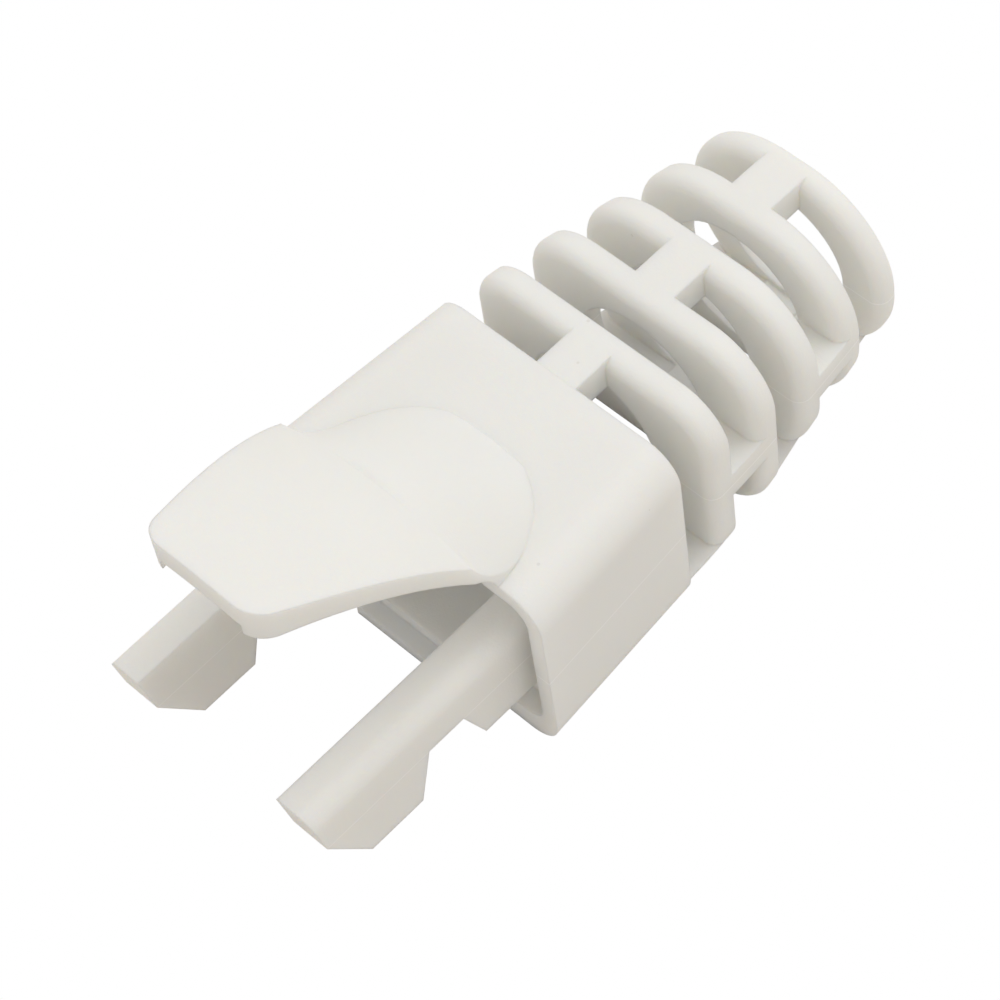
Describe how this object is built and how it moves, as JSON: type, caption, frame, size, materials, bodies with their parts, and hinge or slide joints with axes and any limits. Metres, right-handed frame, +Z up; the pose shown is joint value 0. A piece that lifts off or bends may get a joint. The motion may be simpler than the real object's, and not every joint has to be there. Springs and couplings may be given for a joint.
{
  "type": "cable strain relief boot",
  "caption": "White plastic boot for a modular network plug: slotted tapering sleeve, box, arched latch guard and a pair of snap arms.",
  "frame": {"origin": "middle of the box's flat underside", "axes": "+Y along the cable, away from the plug; +Z up, towards the latch guard; +X to the right seen from the plug's back"},
  "size_m": [0.0136, 0.0325, 0.0164],
  "materials": {
    "white_plastic": "fine moulded grain"
  },
  "bodies": {
    "root": {"boot": "white_plastic"}
  },
  "joints": []
}
